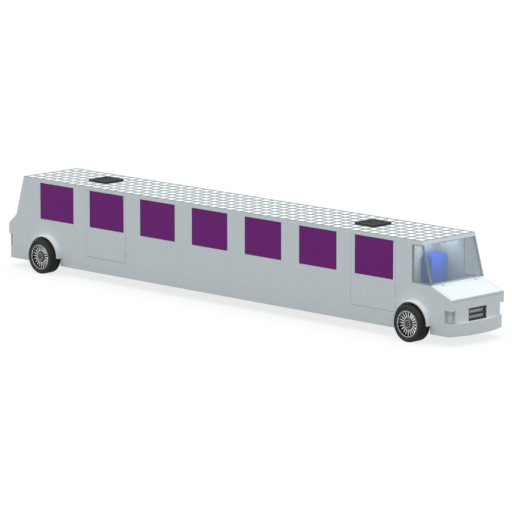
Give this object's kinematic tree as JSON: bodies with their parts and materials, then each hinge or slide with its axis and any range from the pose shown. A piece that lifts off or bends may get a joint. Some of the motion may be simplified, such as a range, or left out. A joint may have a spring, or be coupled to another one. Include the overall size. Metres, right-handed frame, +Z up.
{
  "type": "stretch limousine",
  "caption": "Very long flat-sided stretch limousine with dark purple side windows, ribbed white roof, steered front wheels, hinged doors, bonnet and boot lid.",
  "frame": {"origin": "on the ground under the middle of the body", "axes": "+X forward, +Y to the left, +Z up"},
  "size_m": [12.4698, 1.9, 1.9699],
  "materials": {
    "body_paint": "gloss",
    "roof_white": "gloss",
    "roof_rib": "satin",
    "black_trim": "satin",
    "chrome_lamp": "polished",
    "lens_clear": "polished",
    "lens_red": "gloss",
    "clear_glass": "polished",
    "purple_glass": "polished",
    "blue_leather": "satin",
    "grey_plastic": "matte",
    "frame_steel": "satin",
    "engine_iron": "matte",
    "tyre_rubber": "matte",
    "alloy": "polished"
  },
  "bodies": {
    "body": {"rocker_right": "body_paint", "rocker_left": "body_paint", "side_panel_right": "body_paint", "side_panel_left": "body_paint", "rear_quarter_right": "body_paint", "rear_quarter_left": "body_paint", "front_fender_right": "body_paint", "front_fender_left": "body_paint", "rear_panel": "body_paint", "nose_panel": "body_paint", "cowl": "body_paint", "front_bumper": "body_paint", "rear_bumper": "body_paint", "arch_flares": "body_paint", "roof_panel": "roof_white", "roof_grid": "roof_rib", "roof_vents": "black_trim", "grille": "black_trim", "steering_wheel": "black_trim", "headlamps": "chrome_lamp", "headlamp_lenses": "lens_clear", "tail_lamps": "lens_red", "windscreen": "clear_glass", "quarter_glass": "clear_glass", "cabin_glass": "purple_glass", "driver_seat": "blue_leather", "lounge_seats": "blue_leather", "partition": "grey_plastic", "dashboard": "grey_plastic", "chassis_frame": "frame_steel", "floor_pan": "frame_steel", "front_axle": "frame_steel", "rear_axle": "frame_steel", "leaf_springs": "frame_steel", "engine": "engine_iron"},
    "knuckle_right": {"knuckle_right": "frame_steel"},
    "knuckle_left": {"knuckle_left": "frame_steel"},
    "wheel_front_right": {"tyre_front_right": "tyre_rubber", "rim_front_right": "alloy"},
    "wheel_front_left": {"tyre_front_left": "tyre_rubber", "rim_front_left": "alloy"},
    "wheel_rear_right": {"tyre_rear_right": "tyre_rubber", "rim_rear_right": "alloy"},
    "wheel_rear_left": {"tyre_rear_left": "tyre_rubber", "rim_rear_left": "alloy"},
    "door_front_right": {"door_front_right": "body_paint", "door_glass_front_right": "purple_glass"},
    "door_front_left": {"door_front_left": "body_paint", "door_glass_front_left": "purple_glass"},
    "door_rear_right": {"door_rear_right": "body_paint", "door_glass_rear_right": "purple_glass"},
    "door_rear_left": {"door_rear_left": "body_paint", "door_glass_rear_left": "purple_glass"},
    "bonnet": {"bonnet": "body_paint"},
    "boot_lid": {"boot_lid": "body_paint"}
  },
  "joints": [
    {"name": "steer_right", "type": "hinge", "parent": "body", "child": "knuckle_right", "pos_m": [5.21, -0.74, 0.35], "axis": [0, 0, 1], "range_deg": [-30, 30]},
    {"name": "steer_left", "type": "hinge", "parent": "body", "child": "knuckle_left", "pos_m": [5.21, 0.74, 0.35], "axis": [0, 0, 1], "range_deg": [-30, 30]},
    {"name": "wheel_front_right_spin", "type": "hinge", "parent": "knuckle_right", "child": "wheel_front_right", "pos_m": [5.21, -0.8, 0.35], "axis": [0, 1, 0], "continuous": true},
    {"name": "wheel_front_left_spin", "type": "hinge", "parent": "knuckle_left", "child": "wheel_front_left", "pos_m": [5.21, 0.8, 0.35], "axis": [0, 1, 0], "continuous": true},
    {"name": "wheel_rear_right_spin", "type": "hinge", "parent": "body", "child": "wheel_rear_right", "pos_m": [-4.995, -0.8, 0.35], "axis": [0, 1, 0], "continuous": true},
    {"name": "wheel_rear_left_spin", "type": "hinge", "parent": "body", "child": "wheel_rear_left", "pos_m": [-4.995, 0.8, 0.35], "axis": [0, 1, 0], "continuous": true},
    {"name": "door_front_right_hinge", "type": "hinge", "parent": "body", "child": "door_front_right", "pos_m": [4.722, -0.749, 1], "axis": [0, 0, 1], "range_deg": [0, 68]},
    {"name": "door_front_left_hinge", "type": "hinge", "parent": "body", "child": "door_front_left", "pos_m": [4.722, 0.749, 1], "axis": [0, 0, -1], "range_deg": [0, 68]},
    {"name": "door_rear_right_hinge", "type": "hinge", "parent": "body", "child": "door_rear_right", "pos_m": [-2.653, -0.749, 1], "axis": [0, 0, 1], "range_deg": [0, 68]},
    {"name": "door_rear_left_hinge", "type": "hinge", "parent": "body", "child": "door_rear_left", "pos_m": [-2.653, 0.749, 1], "axis": [0, 0, -1], "range_deg": [0, 68]},
    {"name": "bonnet_hinge", "type": "hinge", "parent": "body", "child": "bonnet", "pos_m": [5.681, 0, 1.09879], "axis": [0, -1, 0], "range_deg": [0, 50]},
    {"name": "boot_lid_hinge", "type": "hinge", "parent": "body", "child": "boot_lid", "pos_m": [-5.927, 0, 1.114], "axis": [0, 1, 0], "range_deg": [0, 80]}
  ],
  "couplings": [
    {"joint": "steer_left", "follows": "steer_right", "ratio": 1}
  ]
}
